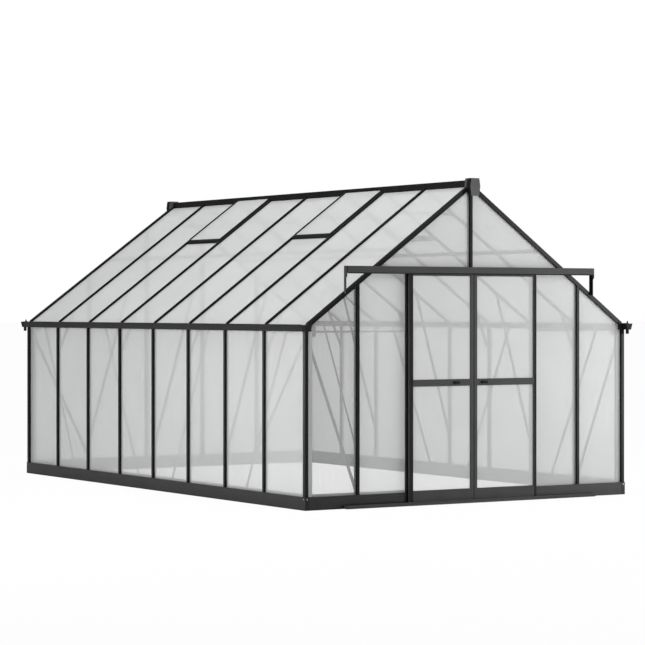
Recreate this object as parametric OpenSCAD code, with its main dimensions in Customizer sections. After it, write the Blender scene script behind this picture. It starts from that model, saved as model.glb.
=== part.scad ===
// Greenhouse with a gable roof, glazed with translucent twin-wall sheet, with a double sliding door
// in the front gable. X is its width, Y its length with the door at -Y, Z is up, the ground is Z = 0.

/* [Building] */
// Length over the base rails
base_length = 4888; // [4400:2:5200]
// Width over the base rails
base_width = 3055; // [2900:1:3200]
// Height of the side wall posts' tops above the ground
eave_height = 1340; // [1280:10:1400]
// Slope of both roof sides in degrees
roof_pitch = 36; // [35:0.5:38]
// Number of bays along each side wall and roof slope
side_bays = 8; // [6:1:10]
// Number of bays across the back wall
back_bays = 5; // [3:2:7]
// Distance of the outermost bays' ends behind the base rails' outer faces
end_margin = 22; // [10:1:30]
// Distance of the front posts behind the base rails' outer faces, measured across the gable
front_bay = 477; // [400:1:540]

/* [Base rails] */
// Height of the base rails
base_height = 100; // [80:5:120]
// Height of the lip that stands on the base rails
lip_height = 18; // [12:1:26]
// Thickness of that lip
lip_thickness = 4; // [2:0.5:6]

/* [Wall frame] */
// Distance of the posts' outer faces behind the base rails' outer faces
post_inset = 4; // [2:1:8]
// Width of the posts' outer ribs
post_width = 22; // [14:1:28]
// Distance that the posts' outer ribs stand proud of the panels
post_proud = 20; // [18:1:28]
// Width of the inner flange that carries the panels, on posts and rafters
flange_width = 44; // [36:1:60]
// Thickness of that flange
flange_thickness = 4; // [2:0.5:6]
// Width of the corner posts across the building
corner_post_width = 28; // [20:1:28]
// Depth of the corner posts, the gable rafters and the door frame along the building
gable_depth = 33; // [31:1:34]
// Distance that the corner posts' inner flanges run past the posts
corner_flange = 50; // [30:1:70]
// Width of the door jambs
jamb_width = 30; // [24:1:40]
// Width of the jambs beside the closed leaves
jamb_margin = 4; // [2:1:20]
// Width of the flat braces on the walls
wall_brace_width = 25; // [18:1:32]
// Thickness of the flat wall braces and the eave rails
wall_brace_thickness = 4; // [2:0.5:6]
// Distance of the gable braces' upper ends below the eaves
gable_brace_drop = 45; // [40:5:120]
// Height of the rails across the gables at the eaves
eave_rail_height = 15; // [10:1:24]
// Distance of those rails' lower edge below the eaves
eave_rail_drop = 10; // [0:1:30]

/* [Panels] */
// Thickness of the twin-wall panels
panel_thickness = 6; // [4:1:8]
// Gap between a panel's edge and what frames it
panel_gap = 0.5; // [0.2:0.1:0.9]

/* [Gutters] */
// Height of the eave gutters
gutter_height = 50; // [40:1:60]
// Distance that the gutters stand out beyond the base rails
gutter_reach = 35; // [25:1:45]
// Distance that the gutters' outer wall leans out
gutter_lean = 15; // [8:1:20]
// Wall thickness of the gutters
gutter_wall = 3; // [2:0.5:4]
// Distance of the roof's seat on the gutters behind the base rails' outer faces
seat_inset = 55; // [52:1:62]
// Length of the gutter ends beyond the base rails
gutter_end = 55; // [40:1:70]
// Distance of the gutter ends' inner walls from the roof's seat
end_inset = 25; // [15:1:30]
// Width of the fin that stands on each gutter end
fin_width = 24; // [16:1:40]
// Height of that fin
fin_height = 25; // [12:1:36]
// Outer diameter of the outlet under each gutter end
outlet_diameter = 26; // [20:1:32]
// Bore of the outlets
outlet_bore = 20; // [14:1:24]
// Length of the outlets below the gutter
outlet_length = 34; // [20:1:60]

/* [Roof frame] */
// Width of the rafters' outer ribs
rafter_width = 20; // [14:1:28]
// Distance that the rafters' outer ribs stand proud of the panels
rafter_proud = 15; // [10:1:24]
// Depth of the gable rafters below the roof's inner plane
gable_rafter_drop = 8; // [4:1:20]
// Distance that the rafters run past their seat over the gutter
rafter_overhang = 28; // [15:1:40]
// Distance that the roof panels run past their seat over the gutter
panel_overhang = 35; // [20:1:50]
// Width of the ridge beam
ridge_width = 32; // [28:1:50]
// Distance that the ridge beam stands above the rafters
ridge_proud = 37; // [20:1:50]
// Chamfer on the ridge beam's upper edges
ridge_chamfer = 6; // [2:1:12]
// Distance of the purlins from the ridge line, measured level
purlin_offset = 665; // [500:10:800]
// Side of the purlins
purlin_size = 16; // [10:1:24]
// Half length of the collar ties along their lower edge
collar_half_length = 270; // [180:5:320]
// Height of the collar ties
collar_height = 22; // [14:1:30]
// Width of the knee braces seen from the end
knee_width = 20; // [14:1:28]
// Thickness of the knee braces and collar ties along the building
knee_thickness = 14; // [8:1:20]
// Height of the long knee braces' feet above the ground
long_knee_foot = 345; // [250:5:500]
// Distance of the long knee braces' upper ends from the side posts, measured level
long_knee_run = 371; // [280:1:480]
// Height of the short knee braces' feet above the ground
short_knee_foot = 1120; // [1000:5:1180]
// Distance of the short knee braces' upper ends from the side posts, measured level
short_knee_run = 149; // [100:1:220]

/* [Ridge caps] */
// Width of the caps on the ridge ends
cap_width = 95; // [84:1:110]
// Distance that the caps stand above the ridge beam
cap_proud = 12; // [8:1:28]
// Distance that the caps hang below the ridge beam's underside
cap_drop = 46; // [20:1:60]
// Distance that the caps stand out in front of the gable
cap_reach = 50; // [30:1:60]
// Height of the caps' widest line above their underside
cap_shoulder = 72; // [50:1:90]
// Distance that each side of the caps draws in above and below that line
cap_taper = 10; // [3:1:14]

/* [Roof vents] */
// Distance of the vents' lower edge from the ridge line, measured level
vent_offset = 532; // [480:1:620]
// Distance of the vents' side edges from the rafters' middle lines
vent_side = 26; // [18:1:40]
// Width of the vent frames' side bars
vent_edge = 6; // [4:1:20]
// Width of the vent frames' lower bar, measured level
vent_bar = 18; // [10:1:40]
// Height of the vent panels' undersides above the curbs
vent_rise = 1; // [0.5:0.5:8]
// Gap between the vents and the ridge beam
vent_gap = 5; // [3:1:30]
// Width of the curbs' lower and upper bars, measured level
curb_bar = 22; // [14:1:32]
// Distance that the curbs' side bars reach in beneath the vents
curb_lap = 8; // [4:1:20]

/* [Door] */
// Height of the leaves' upper edge above the ground
door_top = 1780; // [1740:5:1820]
// Width of one leaf
leaf_width = 603; // [560:1:620]
// Thickness of the leaves
leaf_thickness = 20; // [16:1:24]
// Height of the leaves' lower edge above the ground
leaf_ground_gap = 14; // [12:1:20]
// Distance of each leaf's inner edge from the middle when closed
leaf_middle_gap = 3; // [2.5:0.5:6]
// Width of the leaves' stiles
stile_width = 28; // [22:1:38]
// Height of the leaves' top rail
top_rail = 16; // [12:1:24]
// Height of the leaves' middle rail
middle_rail = 52; // [40:1:70]
// Height of the middle rail's lower edge above the ground
middle_rail_z = 912; // [800:2:1000]
// Height of the leaves' bottom rail
bottom_rail = 98; // [60:1:110]
// Distance that each leaf slides
door_travel = 565; // [540:5:590]

/* [Door track] */
// Height of the track
track_height = 50; // [44:1:60]
// Depth of the track
track_depth = 46; // [44:1:50]
// Wall thickness of the track
track_wall = 3; // [2:0.5:4]
// Width of the slot under the track
track_slot = 16; // [15:0.5:20]
// Gap between the leaves and the track's underside
track_gap = 5; // [5:0.5:10]
// Gap between an open leaf and the bracket at the track's end
end_gap = 5; // [5:0.5:10]
// Thickness of the brackets that carry the track's ends
support_thickness = 5; // [3:0.5:8]
// Distance that the brackets reach down over the gable rafters
support_lap = 18; // [10:1:24]
// Depth of the brackets' lower strap
support_depth = 28; // [20:1:34]
// Depth of the brackets' upper part
support_head = 42; // [36:1:44]
// Distance that the upper part reaches below the track
support_head_drop = 40; // [24:1:60]
// Width of the flange by which the brackets lie on the gable
support_flange = 15; // [8:1:24]

/* [Door trolleys] */
// Length of the trolleys
trolley_length = 60; // [40:1:80]
// Width of the trolleys
trolley_width = 28; // [22:1:29]
// Height of the trolleys
trolley_height = 22; // [14:1:30]
// Thickness of the hangers between trolley and leaf
hanger_thickness = 5; // [4:0.5:6]
// Distance of the trolleys' middle from the leaf's edges
trolley_setback = 80; // [60:1:120]
// Running gap of the trolleys on the track
trolley_gap = 0.3; // [0.2:0.1:0.6]

/* [Door sill] */
// Height of the sill's front lip and ends
sill_height = 28; // [20:1:34]
// Thickness of the sill's plate and lip
sill_wall = 6; // [4:1:8]
// Depth of the sill in front of the base rails
sill_depth = 50; // [46:1:54]
// Distance that the ramp in the middle stands out in front of the sill
ramp_reach = 5; // [3:0.5:5]
// Half length of the ramp
ramp_half = 606; // [500:2:620]

/* [Door handles] */
// Distance of the left leaf's handle from the middle of the door
left_handle_x = 167; // [80:1:250]
// Distance of the right leaf's handle from the middle of the door
right_handle_x = 98; // [80:1:250]
// Length of the handles
handle_length = 66; // [50:1:90]
// Height of the handles' back plate
handle_height = 20; // [16:1:30]
// Thickness of the handles' back plate
handle_plate = 4; // [3:0.5:6]
// Distance that the grip stands out from its plate
grip_reach = 12; // [8:1:13]
// Share of the handle's length that the grip takes
grip_length_share = 0.7; // [0.5:0.05:0.9]
// Share of the handle's height that the grip takes
grip_height_share = 0.75; // [0.5:0.05:0.9]

/* [Hidden] */
$fn = 48;
overrun = 10;

frame_colour = [0.17, 0.175, 0.18];
panel_colour = [0.85, 0.86, 0.87, 0.5];
handle_colour = [0.04, 0.04, 0.045];

half_length = base_length / 2;
half_width = base_width / 2;
side_bay = (base_length - 2 * end_margin) / side_bays;
back_bay = (base_width - 2 * end_margin) / back_bays;

// Layers of a wall, measured inwards from the base rails' outer faces
panel_inset = post_inset + post_proud;
flange_inset = panel_inset + panel_thickness;
frame_inset = flange_inset + flange_thickness;
base_thickness = frame_inset + lip_thickness;
corner_inset = post_inset + corner_post_width;
gable_inset = post_inset + gable_depth;

// Layers of a roof slope, measured out from its inner plane
rafter_top = flange_thickness + panel_thickness + rafter_proud;
vent_top = rafter_top + vent_rise + panel_thickness;
seat_x = half_width - seat_inset;
seat_z = eave_height + gutter_height;
ridge_half = ridge_width / 2;
ridge_bottom = roof_z(ridge_half, -gable_rafter_drop);
ridge_top = roof_z(ridge_half, rafter_top) + ridge_proud;
vent_high = ridge_half + vent_gap;
vent_half = side_bay / 2 - vent_side;

// Door, from the closed leaves outwards
leaf_outer = leaf_middle_gap + leaf_width;
leaf_centre_y = -(half_length - post_inset + track_depth / 2);
leaf_front_y = leaf_centre_y - leaf_thickness / 2;
track_half = leaf_outer + door_travel + end_gap;
track_bottom = door_top + track_gap;
track_top = track_bottom + track_height;
jamb_outer = leaf_outer + jamb_margin;
jamb_inner = jamb_outer - jamb_width;
front_post_x = half_width - front_bay;

vent_bays = [floor(side_bays / 4), side_bays - 1 - floor(side_bays / 4)];
rafter_rows = [for (i = [1:side_bays - 1]) bay_line(i)];
back_post_rows = [for (i = [1:back_bays - 1]) -half_width + end_margin + i * back_bay];

// Height of a layer of the roof, w out from its inner plane, at the distance x from the ridge line
function roof_z(x, w) = seat_z + (seat_x - abs(x)) * tan(roof_pitch) + w / cos(roof_pitch);

// Distance from the ridge line at which that layer has the height z
function roof_x(z, w) = seat_x - (z - seat_z - w / cos(roof_pitch)) / tan(roof_pitch);

// Underside of the gable frame
function gable_under(x) = min(roof_z(x, -gable_rafter_drop), ridge_bottom);

// Upright outline in a gable from x0 to x1, from z0 up to the gable frame or to a lower limit
function gable_outline(x0, x1, z0, limit, gap) =
    let (bend = limit < ridge_bottom ? roof_x(limit, -gable_rafter_drop) : ridge_half)
    concat(
        [[x0, z0], [x1, z0]],
        [for (x = [x1, bend, -bend, x0])
            if (x >= x0 && x <= x1) [x, min(gable_under(x), limit) - gap]]
    );

// Y of the line between two bays
function bay_line(i) = -half_length + end_margin + i * side_bay;

// First and last Y of the panel in a bay, clear of the ribs or of the gable frame
function bay_start(i, rib) = (i == 0 ? -half_length + gable_inset : bay_line(i) + rib / 2) + panel_gap;
function bay_end(i, rib) = -bay_start(side_bays - 1 - i, rib);

function is_vent_bay(i) = len(search(i, vent_bays)) > 0;

// Outline in X and Z drawn out along Y
module along_y(y0, y1) {
    translate([0, y1, 0]) rotate([90, 0, 0]) linear_extrude(y1 - y0) children();
}

// Outline in Y and Z drawn out along X
module along_x(x0, x1) {
    translate([x0, 0, 0]) rotate([90, 0, 90]) linear_extrude(x1 - x0) children();
}

module block(low, high) {
    translate(low) cube(high - low);
}

module on_right() {
    mirror([1, 0, 0]) children();
}

module at_back() {
    mirror([0, 1, 0]) children();
}

module both_sides() {
    children();
    on_right() children();
}

module both_ends() {
    children();
    at_back() children();
}

// Slab of the left roof slope between two distances from the ridge line
module roof_slab(x_low, x_high, w0, w1, y0, y1) {
    along_y(y0, y1) polygon([
        [-x_low, roof_z(x_low, w0)],
        [-x_high, roof_z(x_high, w0)],
        [-x_high, roof_z(x_high, w1)],
        [-x_low, roof_z(x_low, w1)]
    ]);
}

// Strip of the front gable between two layers of the wall
module gable_strip(x0, x1, z0, limit, gap, inset0, inset1) {
    along_y(-half_length + inset0, -half_length + inset1)
        polygon(gable_outline(x0, x1, z0, limit, gap));
}

// Base rails

module side_base() {
    color(frame_colour) {
        block([-half_width, -half_length, 0], [-half_width + base_thickness, half_length, base_height]);
        block(
            [-half_width + frame_inset, -half_length + frame_inset, 0],
            [-half_width + base_thickness, half_length - frame_inset, base_height + lip_height]
        );
    }
}

module base_left() {
    side_base();
}

module base_right() {
    on_right() side_base();
}

// Stretch of the front base rail from x0 to x1
module end_base(x0, x1) {
    block([x0, -half_length, 0], [x1, -half_length + base_thickness, base_height]);
    block(
        [x0, -half_length + frame_inset, 0],
        [x1, -half_length + base_thickness, base_height + lip_height]
    );
}

module base_front() {
    color(frame_colour) both_sides() end_base(-half_width + base_thickness, -jamb_outer);
}

module base_back() {
    inner = half_width - base_thickness;
    color(frame_colour) at_back() end_base(-inner, inner);
}

// Wall frame

// Corner post with a flange behind the panels of both walls
module corner_post() {
    translate([-half_width, -half_length, base_height]) linear_extrude(eave_height - base_height) {
        translate([post_inset, post_inset]) square([corner_post_width, gable_depth]);
        translate([corner_inset, flange_inset]) square([corner_flange, flange_thickness]);
        translate([flange_inset, flange_inset])
            square([flange_thickness, gable_inset - flange_inset + corner_flange]);
    }
}

module corner_posts() {
    color(frame_colour) both_sides() both_ends() corner_post();
}

// Post of the left wall: a rib outside and a flange behind the panels
module side_post() {
    translate([-half_width, 0, base_height]) linear_extrude(eave_height - base_height) {
        translate([post_inset, -post_width / 2]) square([flange_inset - post_inset, post_width]);
        translate([flange_inset, -flange_width / 2]) square([flange_thickness, flange_width]);
    }
}

module side_posts() {
    color(frame_colour) for (y = rafter_rows) translate([0, y, 0]) side_post();
}

module left_wall_posts() {
    side_posts();
}

module right_wall_posts() {
    on_right() side_posts();
}

// Post of the front gable from z0 up to the gable frame or to a lower limit
module gable_post(x, z0, limit) {
    gable_strip(x - post_width / 2, x + post_width / 2, z0, limit, 0, post_inset, flange_inset);
    gable_strip(x - flange_width / 2, x + flange_width / 2, z0, limit, 0, flange_inset, frame_inset);
}

module front_wall_posts() {
    color(frame_colour) {
        both_sides() gable_post(-front_post_x, base_height, track_bottom);
        gable_post(0, track_top, ridge_bottom);
    }
}

module back_wall_posts() {
    color(frame_colour) at_back() for (x = back_post_rows) gable_post(x, base_height, ridge_bottom);
}

module door_jambs() {
    color(frame_colour) both_sides()
        block(
            [-jamb_outer, -half_length + post_inset, 0],
            [-jamb_inner, -half_length + gable_inset, track_bottom]
        );
}

module door_header() {
    low = roof_x(track_bottom, -gable_rafter_drop);
    high = roof_x(track_top, -gable_rafter_drop);
    color(frame_colour) along_y(-half_length + post_inset, -half_length + gable_inset)
        polygon([[-low, track_bottom], [low, track_bottom], [high, track_top], [-high, track_top]]);
}

// Rail across the front gable at the eaves, behind the posts
module eave_rail(x0, x1) {
    bottom = eave_height - eave_rail_drop;
    block(
        [x0, -half_length + frame_inset, bottom],
        [x1, -half_length + frame_inset + wall_brace_thickness, bottom + eave_rail_height]
    );
}

module eave_rails() {
    color(frame_colour) {
        both_sides() eave_rail(-seat_x, -jamb_outer);
        at_back() eave_rail(-seat_x, seat_x);
    }
}

// Braces

// Flat bar between two points of an upright plane, with level ends
module brace_outline(foot, top) {
    rise = top - foot;
    half = wall_brace_width / 2 * norm(rise) / abs(rise[1]);
    polygon([foot - [half, 0], foot + [half, 0], top + [half, 0], top - [half, 0]]);
}

// Side braces cross every second post, from the middle of one bay to the middle of the next
module left_side_braces() {
    reach = side_bay / 2;
    low = base_height + lip_height;
    rows = [for (i = [0:side_bays - 2]) if (i % 2 == 0) rafter_rows[i]];
    for (y = rows)
        along_x(-half_width + frame_inset, -half_width + frame_inset + wall_brace_thickness)
            brace_outline([y - sign(y) * reach, low], [y + sign(y) * reach, eave_height]);
}

module side_wall_braces() {
    color(frame_colour) both_sides() left_side_braces();
}

// Brace of the front gable, from a corner post down to the foot of the next post
module gable_brace(post_x) {
    start = half_width - base_thickness;
    low = base_height + lip_height;
    high = eave_height - gable_brace_drop;
    slope = (high - low) / (start - post_x);
    width = wall_brace_width * norm([1, slope]);
    foot = width / slope / 2;
    along_y(-half_length + frame_inset, -half_length + frame_inset + wall_brace_thickness)
        polygon([
            [-start, high - width / 2],
            [-start, high + width / 2],
            [-post_x + foot, low],
            [-post_x - foot, low]
        ]);
}

module gable_wall_braces() {
    color(frame_colour) {
        both_sides() gable_brace(front_post_x);
        at_back() both_sides() gable_brace(-back_post_rows[0]);
    }
}

// Brace in the plane of a roof truss, from a side post up to the rafter
module knee_brace(foot_z, run) {
    face = half_width - frame_inset;
    reach = face - run;
    rise = [run, roof_z(reach, 0) - foot_z];
    foot_height = knee_width * norm(rise) / rise[0];
    share = (roof_z(face, 0) - foot_z - foot_height) / (rise[1] - rise[0] * tan(roof_pitch));
    along_y(-knee_thickness / 2, knee_thickness / 2) polygon([
        [-face, foot_z],
        [-face, foot_z + foot_height],
        [-face + share * rise[0], foot_z + foot_height + share * rise[1]],
        [-reach, roof_z(reach, 0)]
    ]);
}

module knee_braces() {
    color(frame_colour) both_sides() for (i = [0:side_bays - 2])
        translate([0, rafter_rows[i], 0])
            if (i % 2 == 0)
                knee_brace(short_knee_foot, short_knee_run);
            else
                knee_brace(long_knee_foot, long_knee_run);
}

// Gutters

// Outline of the left gutter, outside the trough and all of it
module gutter_outline() {
    outer = half_width + gutter_reach;
    polygon([
        [-outer + gutter_lean, eave_height],
        [-outer, seat_z],
        [-seat_x - gutter_wall, seat_z],
        [-seat_x - gutter_wall, roof_z(seat_x + gutter_wall, 0)],
        [-seat_x, seat_z],
        [-seat_x, eave_height]
    ]);
}

module trough_outline() {
    outer = half_width + gutter_reach - gutter_wall;
    lean = gutter_lean * (gutter_height - gutter_wall) / gutter_height;
    polygon([
        [-outer + lean, eave_height + gutter_wall],
        [-outer, seat_z],
        [-outer, seat_z + overrun],
        [-seat_x - gutter_wall, seat_z + overrun],
        [-seat_x - gutter_wall, eave_height + gutter_wall]
    ]);
}

module left_gutter_body() {
    color(frame_colour) difference() {
        along_y(-half_length, half_length) gutter_outline();
        along_y(-half_length - overrun, half_length + overrun) trough_outline();
    }
}

module left_gutter() {
    left_gutter_body();
}

module right_gutter() {
    on_right() left_gutter_body();
}

// Outline of a gutter end, whose walls draw in towards the outlet
module end_outline() {
    outer = half_width + gutter_reach;
    inner = seat_x + end_inset;
    polygon([
        [-outer + gutter_lean, eave_height],
        [-outer, seat_z],
        [-inner, seat_z],
        [-inner - gutter_lean, eave_height]
    ]);
}

module end_trough_outline() {
    outer = half_width + gutter_reach - gutter_wall;
    inner = seat_x + end_inset + gutter_wall;
    lean = gutter_lean * (gutter_height - gutter_wall) / gutter_height;
    polygon([
        [-outer + lean, eave_height + gutter_wall],
        [-outer, seat_z],
        [-outer, seat_z + overrun],
        [-inner, seat_z + overrun],
        [-inner, seat_z],
        [-inner - lean, eave_height + gutter_wall]
    ]);
}

// Closed end of a gutter: a plate across the gutter, a funnel before it with a fin on it and the outlet under it
module gutter_end_piece() {
    end = half_length + gutter_end;
    outlet_x = (seat_x + end_inset + half_width + gutter_reach) / 2;
    fin_x = seat_x + end_inset;
    outlet_y = half_length + gutter_end / 2;
    along_y(-end, -end + gutter_wall) polygon([
        [-fin_x - fin_width, seat_z],
        [-fin_x, seat_z],
        [-fin_x - fin_width / 2, seat_z + fin_height]
    ]);
    difference() {
        union() {
            along_y(-end, -half_length) end_outline();
            along_y(-half_length - gutter_wall, -half_length) gutter_outline();
            translate([-outlet_x, -outlet_y, eave_height - outlet_length])
                cylinder(h = outlet_length + gutter_wall / 2, d = outlet_diameter);
        }
        along_y(-end + gutter_wall, -half_length + overrun) end_trough_outline();
        translate([-outlet_x, -outlet_y, eave_height - outlet_length - overrun])
            cylinder(h = overrun + outlet_length + gutter_height, d = outlet_bore);
    }
}

module gutter_ends() {
    color(frame_colour) both_sides() both_ends() gutter_end_piece();
}

// Roof frame

module ridge_beam() {
    color(frame_colour) along_y(-half_length + post_inset, half_length - post_inset) polygon([
        [-ridge_half, ridge_bottom],
        [ridge_half, ridge_bottom],
        [ridge_half, ridge_top - ridge_chamfer],
        [ridge_half - ridge_chamfer, ridge_top],
        [-ridge_half + ridge_chamfer, ridge_top],
        [-ridge_half, ridge_top - ridge_chamfer]
    ]);
}

// Outline of a ridge cap, widest at its shoulders
module cap_outline() {
    half = cap_width / 2;
    low = ridge_bottom - cap_drop;
    top = ridge_top + cap_proud;
    polygon([
        [-half + cap_taper, low],
        [half - cap_taper, low],
        [half, low + cap_shoulder],
        [half - cap_taper, top],
        [-half + cap_taper, top],
        [-half, low + cap_shoulder]
    ]);
}

// Cap on the front end of the ridge: a block before the gable and a saddle over beam and rafters
module ridge_cap() {
    gable_y = -half_length + post_inset;
    inner_y = -half_length + gable_inset;
    side = cap_width / 2 + overrun;
    low = ridge_bottom - cap_drop - overrun;
    along_y(gable_y - cap_reach, gable_y) cap_outline();
    difference() {
        along_y(gable_y, inner_y) cap_outline();
        along_y(gable_y - overrun, inner_y + overrun) polygon([
            [-side, low],
            [-side, roof_z(side, rafter_top)],
            [-ridge_half, roof_z(ridge_half, rafter_top)],
            [-ridge_half, ridge_top - ridge_chamfer],
            [-ridge_half + ridge_chamfer, ridge_top],
            [ridge_half - ridge_chamfer, ridge_top],
            [ridge_half, ridge_top - ridge_chamfer],
            [ridge_half, roof_z(ridge_half, rafter_top)],
            [side, roof_z(side, rafter_top)],
            [side, low]
        ]);
    }
}

module ridge_caps() {
    color(frame_colour) both_ends() ridge_cap();
}

// Rafter of the left slope: a rib outside and a flange below the panels
module rafter() {
    low = seat_x + rafter_overhang;
    roof_slab(low, ridge_half, 0, flange_thickness, -flange_width / 2, flange_width / 2);
    roof_slab(low, ridge_half, flange_thickness, rafter_top, -rafter_width / 2, rafter_width / 2);
}

module left_slope_rafters() {
    color(frame_colour) for (y = rafter_rows) translate([0, y, 0]) rafter();
}

module left_rafters() {
    left_slope_rafters();
}

module right_rafters() {
    on_right() left_slope_rafters();
}

// Rafter of the front gable, deeper than the others
module gable_rafter() {
    low = seat_x + rafter_overhang;
    along_y(-half_length + post_inset, -half_length + gable_inset) polygon([
        [-low, roof_z(low, 0)],
        [-seat_x, seat_z],
        [-seat_x, roof_z(seat_x, -gable_rafter_drop)],
        [-ridge_half, ridge_bottom],
        [-ridge_half, roof_z(ridge_half, rafter_top)],
        [-low, roof_z(low, rafter_top)]
    ]);
}

module gable_rafters() {
    color(frame_colour) both_sides() both_ends() gable_rafter();
}

module purlins() {
    inner = half_length - gable_inset;
    color(frame_colour) both_sides()
        roof_slab(
            purlin_offset + purlin_size / 2, purlin_offset - purlin_size / 2,
            -purlin_size, 0, -inner, inner
        );
}

module collar_tie() {
    low = roof_z(collar_half_length, 0);
    high = low + collar_height;
    top_half = roof_x(high, 0);
    along_y(-knee_thickness / 2, knee_thickness / 2)
        polygon([
            [-collar_half_length, low],
            [collar_half_length, low],
            [top_half, high],
            [-top_half, high]
        ]);
}

module collar_ties() {
    color(frame_colour) for (i = [0:side_bays - 2])
        if (i % 2 == 0) translate([0, rafter_rows[i], 0]) collar_tie();
}

// Panels

module side_panels() {
    color(panel_colour) for (i = [0:side_bays - 1])
        block(
            [-half_width + panel_inset, bay_start(i, post_width), base_height],
            [-half_width + flange_inset, bay_end(i, post_width), eave_height]
        );
}

module left_wall_panels() {
    side_panels();
}

module right_wall_panels() {
    on_right() side_panels();
}

// Panel of the front gable
module gable_panel(x0, x1, z0, limit) {
    gable_strip(x0 + panel_gap, x1 - panel_gap, z0, limit, panel_gap, panel_inset, flange_inset);
}

// Panel beside the left corner post, stepped in behind the gutter
module corner_panel(x1, limit) {
    difference() {
        gable_panel(-half_width + corner_inset, x1, base_height, limit);
        block(
            [-half_width, -half_length, eave_height - panel_gap],
            [-seat_x + panel_gap, -half_length + gable_inset, seat_z]
        );
    }
}

module front_wall_panels() {
    rib = post_width / 2;
    header_end = roof_x(track_top + panel_thickness, -gable_rafter_drop);
    color(panel_colour) both_sides() {
        corner_panel(-front_post_x - rib, track_bottom);
        gable_panel(-front_post_x + rib, -jamb_outer, base_height, track_bottom);
        gable_panel(-header_end, -rib, track_top, ridge_bottom);
    }
}

module back_wall_panels() {
    rib = post_width / 2;
    color(panel_colour) at_back() {
        both_sides() corner_panel(back_post_rows[0] - rib, ridge_bottom);
        for (i = [1:back_bays - 2])
            gable_panel(back_post_rows[i - 1] + rib, back_post_rows[i] - rib, base_height, ridge_bottom);
    }
}

module slope_panels() {
    low = seat_x + panel_overhang;
    color(panel_colour) for (i = [0:side_bays - 1])
        roof_slab(
            low, (is_vent_bay(i) ? vent_offset : ridge_half) + panel_gap,
            flange_thickness, flange_thickness + panel_thickness,
            bay_start(i, rafter_width), bay_end(i, rafter_width)
        );
}

module left_roof_panels() {
    slope_panels();
}

module right_roof_panels() {
    on_right() slope_panels();
}

// Roof vents

// Places its children, made around Y = 0, in the vent bays of both slopes
module in_vent_bays() {
    both_sides() for (i = vent_bays)
        translate([0, (bay_line(i) + bay_line(i + 1)) / 2, 0]) children();
}

// Frame of a vent: a bar along each side and one along the lower edge, open at the ridge
module vent_frame() {
    inner = vent_half - vent_edge;
    difference() {
        roof_slab(vent_offset, vent_high, rafter_top, vent_top, -vent_half, vent_half);
        roof_slab(
            vent_offset - vent_bar, vent_high - overrun, rafter_top - overrun, vent_top + overrun,
            -inner, inner
        );
    }
}

module vent_frames() {
    color(frame_colour) in_vent_bays() vent_frame();
}

module vent_panels() {
    half = vent_half - vent_edge - panel_gap;
    color(panel_colour) in_vent_bays()
        roof_slab(
            vent_offset - vent_bar - panel_gap, vent_high, vent_top - panel_thickness, vent_top,
            -half, half
        );
}

// Curb between the rafters, on which a vent lies
module vent_curb() {
    outer = side_bay / 2 - rafter_width / 2;
    inner = vent_half - curb_lap;
    difference() {
        roof_slab(vent_offset, ridge_half, flange_thickness, rafter_top, -outer, outer);
        roof_slab(
            vent_offset - curb_bar, ridge_half + curb_bar, flange_thickness - overrun, rafter_top + overrun,
            -inner, inner
        );
    }
}

module vent_curbs() {
    color(frame_colour) in_vent_bays() vent_curb();
}

// Door

module door_track() {
    back = -half_length + post_inset;
    front = back - track_depth;
    slot = track_slot / 2;
    color(frame_colour) along_x(-track_half, track_half) polygon([
        [leaf_centre_y + slot, track_bottom],
        [back, track_bottom],
        [back, track_top],
        [front, track_top],
        [front, track_bottom],
        [leaf_centre_y - slot, track_bottom],
        [leaf_centre_y - slot, track_bottom + track_wall],
        [front + track_wall, track_bottom + track_wall],
        [front + track_wall, track_top - track_wall],
        [back - track_wall, track_top - track_wall],
        [back - track_wall, track_bottom + track_wall],
        [leaf_centre_y + slot, track_bottom + track_wall]
    ]);
}

// Bracket at each end of the track, hung before the gable rafter
module track_supports() {
    gable_y = -half_length + post_inset;
    head_low = track_bottom - support_head_drop;
    low = min(roof_z(track_half, rafter_top) - support_lap, head_low);
    color(frame_colour) both_sides() {
        along_x(-track_half - support_thickness, -track_half) polygon([
            [gable_y, low],
            [gable_y, track_top],
            [gable_y - support_head, track_top],
            [gable_y - support_head, head_low + support_head - support_depth],
            [gable_y - support_depth, head_low],
            [gable_y - support_depth, low]
        ]);
        block(
            [-track_half, gable_y - flange_thickness, low],
            [-track_half + support_flange, gable_y, track_bottom]
        );
    }
}

module door_sill() {
    front = -half_length - sill_depth;
    end = track_half + sill_wall;
    color(frame_colour) {
        along_x(-end, end) polygon([
            [front, 0],
            [-half_length, 0],
            [-half_length, sill_wall],
            [front + sill_wall, sill_wall],
            [front + sill_wall, sill_height],
            [front, sill_height]
        ]);
        both_sides() block([-end, front, 0], [-track_half, -half_length, sill_height]);
        along_x(-ramp_half, ramp_half) polygon([
            [front - ramp_reach, 0],
            [front + sill_wall, 0],
            [front + sill_wall, sill_height]
        ]);
    }
}

// Frame of the left leaf: stiles, top, middle and bottom rails around two lights
module leaf_frame() {
    back = leaf_front_y + leaf_thickness;
    light_low = -leaf_outer + stile_width;
    light_high = -leaf_middle_gap - stile_width;
    color(frame_colour) difference() {
        block([-leaf_outer, leaf_front_y, leaf_ground_gap], [-leaf_middle_gap, back, door_top]);
        block(
            [light_low, leaf_front_y - overrun, leaf_ground_gap + bottom_rail],
            [light_high, back + overrun, middle_rail_z]
        );
        block(
            [light_low, leaf_front_y - overrun, middle_rail_z + middle_rail],
            [light_high, back + overrun, door_top - top_rail]
        );
    }
}

module leaf_light(z0, z1) {
    block(
        [-leaf_outer + stile_width + panel_gap, leaf_centre_y - panel_thickness / 2, z0 + panel_gap],
        [-leaf_middle_gap - stile_width - panel_gap, leaf_centre_y + panel_thickness / 2, z1 - panel_gap]
    );
}

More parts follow.
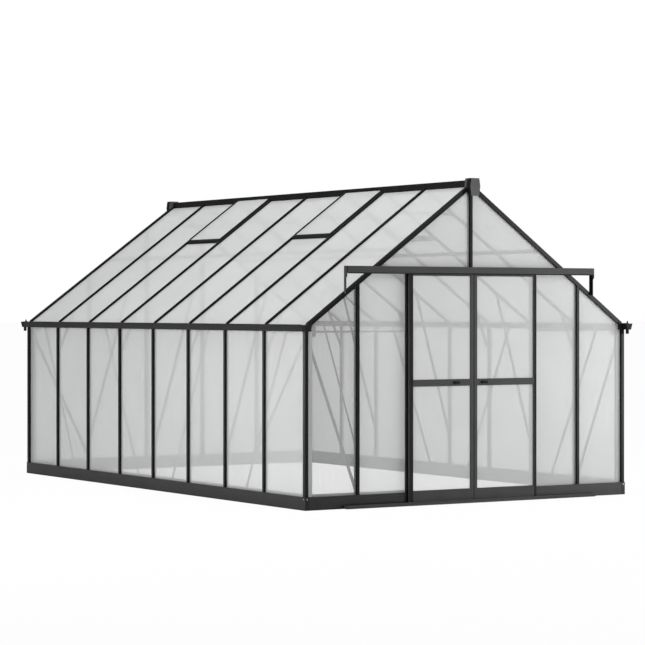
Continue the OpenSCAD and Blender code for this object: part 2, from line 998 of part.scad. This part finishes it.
module leaf_panels() {
    color(panel_colour) {
        leaf_light(leaf_ground_gap + bottom_rail, middle_rail_z);
        leaf_light(middle_rail_z + middle_rail, door_top - top_rail);
    }
}

// Trolley that hangs the leaf from the track, running on the lips beside its slot
module leaf_trolley() {
    seat = track_bottom + track_wall + trolley_gap;
    block(
        [-trolley_length / 2, leaf_centre_y - trolley_width / 2, seat],
        [trolley_length / 2, leaf_centre_y + trolley_width / 2, seat + trolley_height]
    );
    block(
        [-trolley_length / 2, leaf_centre_y - hanger_thickness / 2, door_top],
        [trolley_length / 2, leaf_centre_y + hanger_thickness / 2, seat + trolley_height]
    );
}

module leaf_trolleys() {
    color(handle_colour) for (x = [leaf_outer - trolley_setback, leaf_middle_gap + trolley_setback])
        translate([-x, 0, 0]) leaf_trolley();
}

// Bar with round ends, lying along X and standing out towards -Y
module oval_bar(length, height, reach) {
    straight = length - height;
    rotate([90, 0, 0]) {
        translate([-straight / 2, -height / 2, 0]) cube([straight, height, reach]);
        for (side = [-1, 1]) translate([side * straight / 2, 0, 0]) cylinder(h = reach, d = height);
    }
}

module leaf_handle(x) {
    color(handle_colour) translate([x, leaf_front_y, middle_rail_z + middle_rail / 2]) {
        oval_bar(handle_length, handle_height, handle_plate);
        oval_bar(
            handle_length * grip_length_share, handle_height * grip_height_share,
            handle_plate + grip_reach
        );
    }
}

module left_door_frame() {
    leaf_frame();
}

module left_door_panels() {
    leaf_panels();
}

module left_door_handle() {
    leaf_handle(-left_handle_x);
}

module left_door_trolleys() {
    leaf_trolleys();
}

module right_door_frame() {
    on_right() leaf_frame();
}

module right_door_panels() {
    on_right() leaf_panels();
}

module right_door_handle() {
    leaf_handle(right_handle_x);
}

module right_door_trolleys() {
    on_right() leaf_trolleys();
}

base_left();
base_right();
base_front();
base_back();
corner_posts();
left_wall_posts();
right_wall_posts();
front_wall_posts();
back_wall_posts();
door_jambs();
door_header();
eave_rails();
side_wall_braces();
gable_wall_braces();
knee_braces();
left_gutter();
right_gutter();
gutter_ends();
ridge_beam();
ridge_caps();
left_rafters();
right_rafters();
gable_rafters();
purlins();
collar_ties();
left_wall_panels();
right_wall_panels();
front_wall_panels();
back_wall_panels();
left_roof_panels();
right_roof_panels();
vent_frames();
vent_panels();
vent_curbs();
door_track();
track_supports();
door_sill();
left_door_frame();
left_door_panels();
left_door_handle();
left_door_trolleys();
right_door_frame();
right_door_panels();
right_door_handle();
right_door_trolleys();
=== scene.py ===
"""Looks of a polycarbonate greenhouse: paint, milky twin-wall sheet, seals and fasteners on its solids."""

import math

import bmesh
import bpy
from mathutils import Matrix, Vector


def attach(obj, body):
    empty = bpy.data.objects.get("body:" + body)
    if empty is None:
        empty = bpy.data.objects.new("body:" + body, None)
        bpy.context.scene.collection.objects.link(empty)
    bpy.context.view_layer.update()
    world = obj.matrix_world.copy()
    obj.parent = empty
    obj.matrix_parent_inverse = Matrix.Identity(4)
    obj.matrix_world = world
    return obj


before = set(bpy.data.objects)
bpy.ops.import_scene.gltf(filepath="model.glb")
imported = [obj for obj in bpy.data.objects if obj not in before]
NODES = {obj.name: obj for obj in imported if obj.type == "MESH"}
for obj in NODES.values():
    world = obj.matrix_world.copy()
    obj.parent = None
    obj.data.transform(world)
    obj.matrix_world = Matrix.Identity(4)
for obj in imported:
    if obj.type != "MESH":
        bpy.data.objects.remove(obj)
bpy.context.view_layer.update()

# Camera of the photograph: metres, heading in degrees from +Y towards +X, lens and sensor in millimetres
CAMERA_PLACE = (-10.944, -17.779, 1.518)
CAMERA_HEADING = 31.979
CAMERA_LENS = 134.49
CAMERA_SENSOR = 36.0
CAMERA_SHIFT_X = -0.00078
CAMERA_SHIFT_Y = -0.02287
CAMERA_REACH = 1000.0

# Distances within which corners count as one corner, or as lying in one plane
WELD_DISTANCE = 0.00002
SAME_PLACE = 0.0005

# Bevel on the solids' edges, and the angle in degrees from which an edge gets one
BEVEL_WIDTH = 0.0012
BEVEL_SEGMENTS = 2
BEVEL_ANGLE = 30

# Webs of the twin-wall sheet: their spacing, and a small gap to the faces of upright sheets
FLUTE_PITCH = 0.0105
FLUTE_MARGIN = 0.0002

# Height above a sheet from which a ray looks down for its top edge
RAY_RISE = 0.01

# Rubber seals along the sheets' edges
WALL_SEAL_WIDTH = 0.0015
ROOF_SEAL_WIDTH = 0.006
SEAL_PROUD = 0.002
VENT_SEAL_WIDTH = 0.012
VENT_SEAL_PROUD = 0.009

# Black brushes on the leaves' outer edges and under the track's front; the left one is widened as painted
# shadow of the jamb
LEFT_BRUSH_AND_SHADE_WIDTH = 0.033
RIGHT_BRUSH_WIDTH = 0.020
BRUSH_PROUD = 0.0015
TRACK_BRUSH_DROP = 0.008
TRACK_BRUSH_THICKNESS = 0.003

# Gusset plates in the corners of the gables, and their drop below the gutters' tops
GUSSET_WIDTH = 0.062
GUSSET_HEIGHT = 0.085
GUSSET_THICKNESS = 0.003
GUSSET_DROP = 0.005

# Milky tape over the outer edges of the gables' sheets, from their feet to the gutters
TAPE_WIDTH = 0.044
TAPE_THICKNESS = 0.0005

# Black plates on the sides of the ridge caps, painted shade on their sides
CAP_SHADE_PLATE_THICKNESS = 0.001

# Bead along the gutters' outer edge
BEAD_RADIUS = 0.0035
BEAD_SIDES = 10

# Heads of the screws, their distance from the base's corners and their depth below the corner posts
SCREW_RADIUS = 0.0045
SCREW_PROUD = 0.0025
SCREW_SIDES = 12
SCREW_SETBACK = 0.018
SCREW_DEPTH = 0.016

# Soft noise in the colours, and the fine grain of the solids' surface
MOTTLE_DETAIL = 3.0
MOTTLE_DARK_END = 0.35
MOTTLE_LIGHT_END = 0.65
SOLID_MOTTLE_SCALE = 6.0
SHEET_MOTTLE_SCALE = 2.0
GRAIN_SCALE = 900.0
GRAIN_STRENGTH = 0.12
GRAIN_DEPTH = 0.0004

# Surface of the sheets, and how many see-through faces a ray may pass
SHEET_ROUGHNESS = 0.35
SHEET_SPECULAR = 0.25
TRANSPARENT_BOUNCES = 48

# Floor, and the share of white glow in what the camera sees of it
FLOOR_SIZE = 400.0
FLOOR_GAP = 0.002
FLOOR_GREY = 0.85
FLOOR_ROUGHNESS = 0.9
FLOOR_WHITE_SHARE = 0.97

# Strength of the world as a light, and as the camera sees it
WORLD_LIGHT = 0.23
WORLD_SEEN = 1.0
WHITE = (1.0, 1.0, 1.0, 1.0)

# Softboxes: place, target, length of a side and power in watts
SOFTBOXES = {
    "top_softbox": ((0.0, 0.0, 9.0), (0.0, 0.0, 0.0), 9.0, 580.0),
    "front_softbox": ((5.6, -6.2, 1.6), (0.8, -2.4, 1.0), 4.2, 290.0),
    "wash_softbox": ((-1.0, -8.5, 6.0), (-0.3, -2.4, 1.0), 5.0, 140.0),
    "left_softbox": ((-6.2, 4.9, 1.2), (-1.5, -1.5, 0.5), 2.0, 42.0),
    "near_softbox": ((-8.0, -3.2, 2.0), (-1.5, -1.4, 0.8), 4.0, 212.0),
}

# Each node of sheets: its body, the axis across its flutes, or slope on the roof, and its outer side
PANEL_NODES = {
    "left_wall_panels": ("root", "y", -1),
    "right_wall_panels": ("root", "y", 1),
    "front_wall_panels": ("root", "x", -1),
    "back_wall_panels": ("root", "x", 1),
    "left_roof_panels": ("root", "slope", 1),
    "right_roof_panels": ("root", "slope", 1),
    "vent_panels": ("root", "slope", 1),
    "left_door_panels": ("left_door", "x", -1),
    "right_door_panels": ("right_door", "x", -1),
}
AXIS_INDEX = {"x": 0, "y": 1}


# Materials

def principled(name):
    """A new material with its node tree and its shader."""
    material = bpy.data.materials.new(name)
    material.use_nodes = True
    tree = material.node_tree
    return material, tree, tree.nodes["Principled BSDF"]


def add_mottle(tree, shader, dark, light, scale):
    """Colours the shader with a soft noise between two colours."""
    place = tree.nodes.new("ShaderNodeTexCoord")
    noise = tree.nodes.new("ShaderNodeTexNoise")
    ramp = tree.nodes.new("ShaderNodeValToRGB")
    noise.inputs["Scale"].default_value = scale
    noise.inputs["Detail"].default_value = MOTTLE_DETAIL
    dark_end, light_end = ramp.color_ramp.elements
    dark_end.position = MOTTLE_DARK_END
    dark_end.color = (*dark, 1.0)
    light_end.position = MOTTLE_LIGHT_END
    light_end.color = (*light, 1.0)
    tree.links.new(place.outputs["Object"], noise.inputs["Vector"])
    tree.links.new(noise.outputs["Fac"], ramp.inputs["Fac"])
    tree.links.new(ramp.outputs["Color"], shader.inputs["Base Color"])
    return place


def add_grain(tree, shader, place):
    """Gives the shader a fine grain, as of powder coat."""
    grain = tree.nodes.new("ShaderNodeTexNoise")
    bump = tree.nodes.new("ShaderNodeBump")
    grain.inputs["Scale"].default_value = GRAIN_SCALE
    bump.inputs["Strength"].default_value = GRAIN_STRENGTH
    bump.inputs["Distance"].default_value = GRAIN_DEPTH
    tree.links.new(place.outputs["Object"], grain.inputs["Vector"])
    tree.links.new(grain.outputs["Fac"], bump.inputs["Height"])
    tree.links.new(bump.outputs["Normal"], shader.inputs["Normal"])


def solid_material(name, dark, light, roughness, specular, metallic=0.0):
    """Mottled and grained paint, plastic, rubber or metal."""
    material, tree, shader = principled(name)
    shader.inputs["Roughness"].default_value = roughness
    shader.inputs["Specular IOR Level"].default_value = specular
    shader.inputs["Metallic"].default_value = metallic
    place = add_mottle(tree, shader, dark, light, SOLID_MOTTLE_SCALE)
    add_grain(tree, shader, place)
    return material


def sheet_material(name, dark, light, alpha):
    """Milky see-through sheet."""
    material, tree, shader = principled(name)
    shader.inputs["Roughness"].default_value = SHEET_ROUGHNESS
    shader.inputs["Specular IOR Level"].default_value = SHEET_SPECULAR
    shader.inputs["Alpha"].default_value = alpha
    add_mottle(tree, shader, dark, light, SHEET_MOTTLE_SCALE)
    return material


PAINT = solid_material(
    "dark_grey_powder_coat", (0.006, 0.006, 0.0063), (0.009, 0.009, 0.0094), roughness=0.26, specular=0.15)
BASE_GREYS = ((0.007, 0.007, 0.0073), (0.010, 0.010, 0.0104))
SIDE_BASE_PAINT = solid_material("side_base_paint", *BASE_GREYS, roughness=0.28, specular=0.3)
FRONT_BASE_PAINT = solid_material("front_base_paint", *BASE_GREYS, roughness=0.28, specular=0.44)
CAP_PLASTIC = solid_material(
    "dark_grey_plastic", (0.064, 0.064, 0.065), (0.072, 0.072, 0.073), roughness=0.5, specular=0.35)
DOOR_PAINT = solid_material(
    "grey_door_paint", (0.047, 0.047, 0.048), (0.053, 0.053, 0.054), roughness=0.42, specular=0.14)
BLACK_PLASTIC = solid_material(
    "black_plastic", (0.005, 0.005, 0.0055), (0.008, 0.008, 0.0085), roughness=0.5, specular=0.12)
RUBBER = solid_material(
    "black_rubber", (0.006, 0.006, 0.006), (0.010, 0.010, 0.010), roughness=0.7, specular=0.2)
ZINC = solid_material(
    "zinc_plated_steel", (0.55, 0.55, 0.55), (0.66, 0.66, 0.65), roughness=0.3, specular=0.5, metallic=1.0)

MILKY_WHITES = ((0.82, 0.825, 0.83), (0.85, 0.855, 0.86))
ROOF_SHEET = sheet_material("milky_roof_sheet", *MILKY_WHITES, alpha=0.53)
SIDE_SHEET = sheet_material("milky_side_sheet", *MILKY_WHITES, alpha=0.48)
GABLE_SHEET = sheet_material("milky_gable_sheet", *MILKY_WHITES, alpha=0.40)
# The leftmost front sheet: clearer, and darker in colour as painted shade
CLEAR_SHADED_SHEET = sheet_material("clearer_shaded_gable_sheet", (0.74, 0.745, 0.75), (0.77, 0.775, 0.78), alpha=0.28)
TAPE = sheet_material("milky_edge_tape", (0.80, 0.805, 0.81), (0.83, 0.835, 0.84), alpha=0.42)
WEB = sheet_material("sheet_webs", *MILKY_WHITES, alpha=0.25)

# Materials of the sheets by the axis across their flutes, and of the nodes without the frame's paint
SHEETS = {"slope": ROOF_SHEET, "y": SIDE_SHEET, "x": GABLE_SHEET}
FINISHES = {
    "base_left": SIDE_BASE_PAINT,
    "base_right": SIDE_BASE_PAINT,
    "base_back": SIDE_BASE_PAINT,
    "base_front": FRONT_BASE_PAINT,
    "ridge_caps": CAP_PLASTIC,
    "gutter_ends": BLACK_PLASTIC,
    "door_track": DOOR_PAINT,
    "door_sill": DOOR_PAINT,
    "left_door_frame": DOOR_PAINT,
    "right_door_frame": DOOR_PAINT,
    "left_door_handle": BLACK_PLASTIC,
    "right_door_handle": BLACK_PLASTIC,
    "left_door_trolleys": BLACK_PLASTIC,
    "right_door_trolleys": BLACK_PLASTIC,
}


# Corners and boxes of the solids

def solids_of(node):
    """The corners of each separate solid in a node."""
    work = bmesh.new()
    work.from_mesh(NODES[node].data)
    bmesh.ops.remove_doubles(work, verts=work.verts, dist=WELD_DISTANCE)
    reached = set()
    solids = []
    for first in work.verts:
        if first in reached:
            continue
        reached.add(first)
        todo = [first]
        corners = []
        while todo:
            vertex = todo.pop()
            corners.append(vertex.co.copy())
            for edge in vertex.link_edges:
                other = edge.other_vert(vertex)
                if other not in reached:
                    reached.add(other)
                    todo.append(other)
        solids.append(corners)
    work.free()
    return solids


def corners_of(node):
    """All corners of a node."""
    return [vertex.co for vertex in NODES[node].data.vertices]


def box_of(corners):
    """The lowest and the highest corner of the box around some corners."""
    low = Vector(min(corner[i] for corner in corners) for i in range(3))
    high = Vector(max(corner[i] for corner in corners) for i in range(3))
    return low, high


def box_of_node(node):
    """The lowest and the highest corner of the box around a node."""
    return box_of(corners_of(node))


def front_end_of(corners):
    """The corners at the front end of a sloping sheet."""
    front = min(corner.y for corner in corners)
    return [corner for corner in corners if corner.y < front + SAME_PLACE]


def point_at(across, place, depth, height):
    """A point by its place on the axis with this index, its depth on the other flat axis and its height."""
    point = Vector((0, 0, height))
    point[across] = place
    point[1 - across] = depth
    return point


def top_of_sheet(node, box, across, place):
    """Height of the top edge of an upright sheet at a place across it, or None where it has none."""
    low, high = box
    through = 1 - across
    origin = point_at(across, place, (low[through] + high[through]) / 2, high.z + RAY_RISE)
    hit, point, _, _ = NODES[node].ray_cast(origin, Vector((0, 0, -1)))
    return point.z if hit else None


# Pieces

def add_piece(name, vertices, faces, material, body):
    """A new mesh that rides on a body and has the given finish."""
    mesh = bpy.data.meshes.new(name)
    mesh.from_pydata(vertices, [], faces)
    mesh.validate()
    mesh.materials.append(material)
    piece = bpy.data.objects.new(name, mesh)
    bpy.context.scene.collection.objects.link(piece)
    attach(piece, body)


def add_prisms(name, prisms, material, body):
    """A piece made of prisms, each given by its first and last outline."""
    vertices = []
    faces = []
    for first, last in prisms:
        start = len(vertices)
        count = len(first)
        vertices += [*first, *last]
        faces.append(tuple(start + i for i in reversed(range(count))))
        faces.append(tuple(start + count + i for i in range(count)))
        for i in range(count):
            following = (i + 1) % count
            faces.append((start + i, start + following, start + count + following, start + count + i))
    add_piece(name, vertices, faces, material, body)


def block(low, high):
    """An upright box as a prism, given by its lowest and highest corners."""
    outline = [(low[0], low[1]), (high[0], low[1]), (high[0], high[1]), (low[0], high[1])]
    return [(*corner, low[2]) for corner in outline], [(*corner, high[2]) for corner in outline]


def rod(start, end, radius, sides):
    """A round bar as a prism, given by the middles of its ends."""
    start = Vector(start)
    end = Vector(end)
    turn = (end - start).to_track_quat("Z", "Y")
    angles = [2 * math.pi * i / sides for i in range(sides)]
    ring = [turn @ Vector((radius * math.cos(angle), radius * math.sin(angle), 0.0)) for angle in angles]
    return [start + arm for arm in ring], [end + arm for arm in ring]


# Webs inside the sheets

def steps_between(low, high):
    """Places of the webs between two edges of a sheet."""
    count = max(1, round((high - low) / FLUTE_PITCH))
    return [low + (high - low) * i / count for i in range(1, count)]


def wall_webs(node, axis):
    """Webs inside upright sheets, which stand on edge across the given axis."""
    vertices = []
    faces = []
    across = AXIS_INDEX[axis]
    through = 1 - across
    for corners in solids_of(node):
        low, high = box_of(corners)
        near = low[through] + FLUTE_MARGIN
        far = high[through] - FLUTE_MARGIN
        for place in steps_between(low[across], high[across]):
            top = top_of_sheet(node, (low, high), across, place)
            if top is None:
                continue
            start = len(vertices)
            for depth, height in ((near, low.z), (far, low.z), (far, top), (near, top)):
                vertices.append(point_at(across, place, depth, height))
            faces.append(tuple(range(start, len(vertices))))
    return vertices, faces


def slope_webs(node):
    """Webs inside the sheets of a roof slope, which run down the slope."""
    vertices = []
    faces = []
    for corners in solids_of(node):
        low, high = box_of(corners)
        end = front_end_of(corners)
        middle = sum(end, Vector()) / len(end)
        end.sort(key=lambda corner: math.atan2(corner.z - middle.z, corner.x - middle.x))
        for place in steps_between(low.y, high.y):
            start = len(vertices)
            vertices += [(corner.x, place, corner.z) for corner in end]
            faces.append(tuple(range(start, len(vertices))))
    return vertices, faces


def add_webs():
    """Webs of all sheets, a piece for each node."""
    for node, (body, axis, _) in PANEL_NODES.items():
        vertices, faces = slope_webs(node) if axis == "slope" else wall_webs(node, axis)
        add_piece(node.replace("panels", "webs"), vertices, faces, WEB, body)


# Seals, brushes, gussets, cap plates of painted shade, tapes, beads and screws

def wall_seals(node, axis, outer):
    """Seals on the outer face of upright sheets, along both of their upright edges."""
    across = AXIS_INDEX[axis]
    through = 1 - across
    prisms = []
    for corners in solids_of(node):
        low, high = box_of(corners)
        face = high[through] if outer > 0 else low[through]
        near, far = sorted((face, face + outer * SEAL_PROUD))
        for start in (low[across], high[across] - WALL_SEAL_WIDTH):
            end = start + WALL_SEAL_WIDTH
            tops = [top_of_sheet(node, (low, high), across, place)
                    for place in (start + FLUTE_MARGIN, end - FLUTE_MARGIN)]
            top = min(high.z if height is None else height for height in tops)
            prisms.append(block(point_at(across, start, near, low.z), point_at(across, end, far, top)))
    return prisms


def slope_seals(node, width, proud, both):
    """Seals on the sheets of a roof slope, along both sloping edges or only the one at the back."""
    prisms = []
    for corners in solids_of(node):
        low, high = box_of(corners)
        end = front_end_of(corners)
        middle = (abs(low.x) + abs(high.x)) / 2
        foot = max((corner for corner in end if abs(corner.x) > middle), key=lambda corner: corner.z)
        head = max((corner for corner in end if abs(corner.x) < middle), key=lambda corner: corner.z)
        run = head - foot
        out = Vector((-run.z, 0, run.x)).normalized() * proud
        if out.z < 0:
            out = -out
        outline = [foot, head, head + out, foot + out]
        starts = [low.y, high.y - width] if both else [high.y - width]
        for start in starts:
            first = [(corner.x, start, corner.z) for corner in outline]
            last = [(corner.x, start + width, corner.z) for corner in outline]
            prisms.append((first, last))
    return prisms


def add_seals():
    """Seals of all sheets, a piece for each node."""
    for node, (body, axis, outer) in PANEL_NODES.items():
        if node == "vent_panels":
            prisms = slope_seals(node, VENT_SEAL_WIDTH, VENT_SEAL_PROUD, both=False)
        elif axis == "slope":
            prisms = slope_seals(node, ROOF_SEAL_WIDTH, SEAL_PROUD, both=True)
        else:
            prisms = wall_seals(node, axis, outer)
        add_prisms(node.replace("panels", "seals"), prisms, RUBBER, body)


def add_brushes():
    """Brushes on the front of the leaves' outer stiles, the left one widened as painted shadow of the jamb,
    and under the track's front edge.
    """
    for body, outer, width in (("left_door", -1, LEFT_BRUSH_AND_SHADE_WIDTH), ("right_door", 1, RIGHT_BRUSH_WIDTH)):
        low, high = box_of_node(body + "_frame")
        start = high.x - width if outer > 0 else low.x
        strip = block((start, low.y - BRUSH_PROUD, low.z), (start + width, low.y, high.z))
        add_prisms(body + "_brush", [strip], RUBBER, body)
    low, high = box_of_node("door_track")
    strip = block((low.x, low.y, low.z - TRACK_BRUSH_DROP), (high.x, low.y + TRACK_BRUSH_THICKNESS, low.z))
    add_prisms("track_brush", [strip], RUBBER, "root")


def rail_thickness():
    """Thickness of the rails across the gables."""
    front = [corner.y for corner in corners_of("eave_rails") if corner.y < 0]
    return max(front) - min(front)


def add_gussets():
    """Plates behind the gable rails that tie the corner posts to the gutters."""
    rail_low, rail_high = box_of_node("eave_rails")
    brace_low, brace_high = box_of_node("gable_wall_braces")
    top = box_of_node("left_gutter")[1].z - GUSSET_DROP
    setback = rail_thickness()
    prisms = []
    for x, x_inwards in ((rail_low.x, 1), (rail_high.x, -1)):
        x_low, x_high = sorted((x, x + x_inwards * GUSSET_WIDTH))
        for y, y_inwards in ((brace_low.y, 1), (brace_high.y, -1)):
            face = y + y_inwards * setback
            y_low, y_high = sorted((face, face + y_inwards * GUSSET_THICKNESS))
            prisms.append(block((x_low, y_low, top - GUSSET_HEIGHT), (x_high, y_high, top)))
    add_prisms("corner_gussets", prisms, PAINT, "root")


def add_cap_shade_plates():
    """Thin plates on the sides of the ridge caps' blocks, black as painted shade."""
    prisms = []
    for corners in solids_of("ridge_caps"):
        low, high = box_of(corners)
        foot = [corner.y for corner in corners if corner.z < low.z + SAME_PLACE]
        face, back = (low.y, max(foot)) if low.y < 0 else (high.y, min(foot))
        outline = [(corner.x, corner.z) for corner in corners if abs(corner.y - face) < SAME_PLACE]
        for side in (-1, 1):
            edge = sorted(((x, z) for x, z in outline if side * x > 0), key=lambda point: point[1])
            loop = edge + [(x + side * CAP_SHADE_PLATE_THICKNESS, z) for x, z in reversed(edge)]
            prisms.append(([(x, face, z) for x, z in loop], [(x, back, z) for x, z in loop]))
    add_prisms("cap_shade_plates", prisms, BLACK_PLASTIC, "root")


def add_tapes():
    """Tape over the outermost upright edges of the gables' sheets."""
    top = box_of_node("left_gutter")[0].z
    prisms = []
    for node, outer in (("front_wall_panels", -1), ("back_wall_panels", 1)):
        low, high = box_of_node(node)
        face = low.y if outer < 0 else high.y
        y_low, y_high = sorted((face, face + outer * TAPE_THICKNESS))
        for x in (low.x, high.x - TAPE_WIDTH):
            prisms.append(block((x, y_low, low.z), (x + TAPE_WIDTH, y_high, top)))
    add_prisms("edge_tapes", prisms, TAPE, "root")


def add_beads():
    """Rolled edges of the gutters."""
    prisms = []
    for node, outer in (("left_gutter", -1), ("right_gutter", 1)):
        corners = corners_of(node)
        low, high = box_of(corners)
        x = low.x if outer < 0 else high.x
        z = max(corner.z for corner in corners if abs(corner.x - x) < SAME_PLACE)
        start, end = ((x - outer * BEAD_RADIUS / 2, y, z) for y in (low.y, high.y))
        prisms.append(rod(start, end, BEAD_RADIUS, BEAD_SIDES))
    add_prisms("gutter_beads", prisms, PAINT, "root")


def add_screws():
    """Screw heads at the corners of the base rails."""
    low, high = box_of_node("base_left")
    right = box_of_node("base_right")[1].x
    z = box_of_node("corner_posts")[0].z - SCREW_DEPTH
    prisms = []
    for x, x_out in ((low.x, -1), (right, 1)):
        for y, y_out in ((low.y, -1), (high.y, 1)):
            x_back = x - x_out * SCREW_SETBACK
            y_back = y - y_out * SCREW_SETBACK
            for start, end in (
                ((x, y_back, z), (x + x_out * SCREW_PROUD, y_back, z)),
                ((x_back, y, z), (x_back, y + y_out * SCREW_PROUD, z)),
            ):
                prisms.append(rod(start, end, SCREW_RADIUS, SCREW_SIDES))
    add_prisms("base_screws", prisms, ZINC, "root")


# Finish of the solids

def soften_edges(node):
    """Small bevels on the edges of a solid, so that they catch the light."""
    weld = node.modifiers.new("weld", "WELD")
    weld.merge_threshold = WELD_DISTANCE
    bevel = node.modifiers.new("bevel", "BEVEL")
    bevel.width = BEVEL_WIDTH
    bevel.segments = BEVEL_SEGMENTS
    bevel.limit_method = "ANGLE"
    bevel.angle_limit = math.radians(BEVEL_ANGLE)
    bevel.harden_normals = True


def clear_and_shade_left_sheet():
    """Makes the leftmost sheet of the front gable a clearer one, as in the photograph, with a darker colour
    that is painted shade.
    """
    right_edge = min(box_of(corners)[1].x for corners in solids_of("front_wall_panels"))
    mesh = NODES["front_wall_panels"].data
    mesh.materials.append(CLEAR_SHADED_SHEET)
    for polygon in mesh.polygons:
        polygon.material_index = int(polygon.center.x < right_edge + SAME_PLACE)


def finish_solids():
    """Materials of all nodes, and bevels on all but the sheets."""
    for name, node in NODES.items():
        node.data.materials.clear()
        if name in PANEL_NODES:
            axis = PANEL_NODES[name][1]
            node.data.materials.append(SHEETS[axis])
        else:
            node.data.materials.append(FINISHES.get(name, PAINT))
            soften_edges(node)
    clear_and_shade_left_sheet()


# Stage, light and camera

def seen_directly(tree):
    """A socket that is 1 for what the camera sees, also through the sheets, and 0 for light."""
    return tree.nodes.new("ShaderNodeLightPath").outputs["Is Camera Ray"]


def add_floor():
    """A pale floor, nearly white to the camera apart from the object's soft shadow."""
    bpy.ops.mesh.primitive_plane_add(size=FLOOR_SIZE, location=(0.0, 0.0, -FLOOR_GAP))
    floor = bpy.context.object
    floor.name = "floor"
    material, tree, shader = principled("pale_floor")
    shader.inputs["Base Color"].default_value = (FLOOR_GREY, FLOOR_GREY, FLOOR_GREY, 1.0)
    shader.inputs["Roughness"].default_value = FLOOR_ROUGHNESS
    shader.inputs["Specular IOR Level"].default_value = 0.0
    glow = tree.nodes.new("ShaderNodeEmission")
    share = tree.nodes.new("ShaderNodeMath")
    mix = tree.nodes.new("ShaderNodeMixShader")
    share.operation = "MULTIPLY"
    share.inputs[1].default_value = FLOOR_WHITE_SHARE
    tree.links.new(seen_directly(tree), share.inputs[0])
    tree.links.new(share.outputs[0], mix.inputs["Fac"])
    tree.links.new(shader.outputs["BSDF"], mix.inputs[1])
    tree.links.new(glow.outputs["Emission"], mix.inputs[2])
    tree.links.new(mix.outputs["Shader"], tree.nodes["Material Output"].inputs["Surface"])
    floor.data.materials.append(material)


def light_world():
    """A white world, dimmer in the light that it gives than as the camera sees it."""
    world = bpy.data.worlds.new("studio")
    bpy.context.scene.world = world
    world.use_nodes = True
    tree = world.node_tree
    background = tree.nodes["Background"]
    strength = tree.nodes.new("ShaderNodeMapRange")
    strength.inputs["To Min"].default_value = WORLD_LIGHT
    strength.inputs["To Max"].default_value = WORLD_SEEN
    background.inputs["Color"].default_value = WHITE
    tree.links.new(seen_directly(tree), strength.inputs["Value"])
    tree.links.new(strength.outputs["Result"], background.inputs["Strength"])


def add_softboxes():
    """Square lamps, each turned to its target."""
    for name, (place, target, side, power) in SOFTBOXES.items():
        data = bpy.data.lights.new(name, "AREA")
        data.size = side
        data.energy = power
        lamp = bpy.data.objects.new(name, data)
        lamp.location = place
        lamp.rotation_euler = (Vector(target) - Vector(place)).to_track_quat("-Z", "Y").to_euler()
        bpy.context.scene.collection.objects.link(lamp)


def add_camera():
    """The photograph's camera, held level."""
    data = bpy.data.cameras.new("camera")
    data.sensor_width = CAMERA_SENSOR
    data.lens = CAMERA_LENS
    data.shift_x = CAMERA_SHIFT_X
    data.shift_y = CAMERA_SHIFT_Y
    data.clip_end = CAMERA_REACH
    camera = bpy.data.objects.new("camera", data)
    camera.location = CAMERA_PLACE
    camera.rotation_euler = (math.pi / 2, 0.0, -math.radians(CAMERA_HEADING))
    bpy.context.scene.collection.objects.link(camera)
    bpy.context.scene.camera = camera


finish_solids()
add_webs()
add_seals()
add_brushes()
add_gussets()
add_cap_shade_plates()
add_tapes()
add_beads()
add_screws()
add_floor()
light_world()
add_softboxes()
add_camera()

bpy.context.scene.view_settings.view_transform = "Standard"
bpy.context.scene.cycles.transparent_max_bounces = TRANSPARENT_BOUNCES
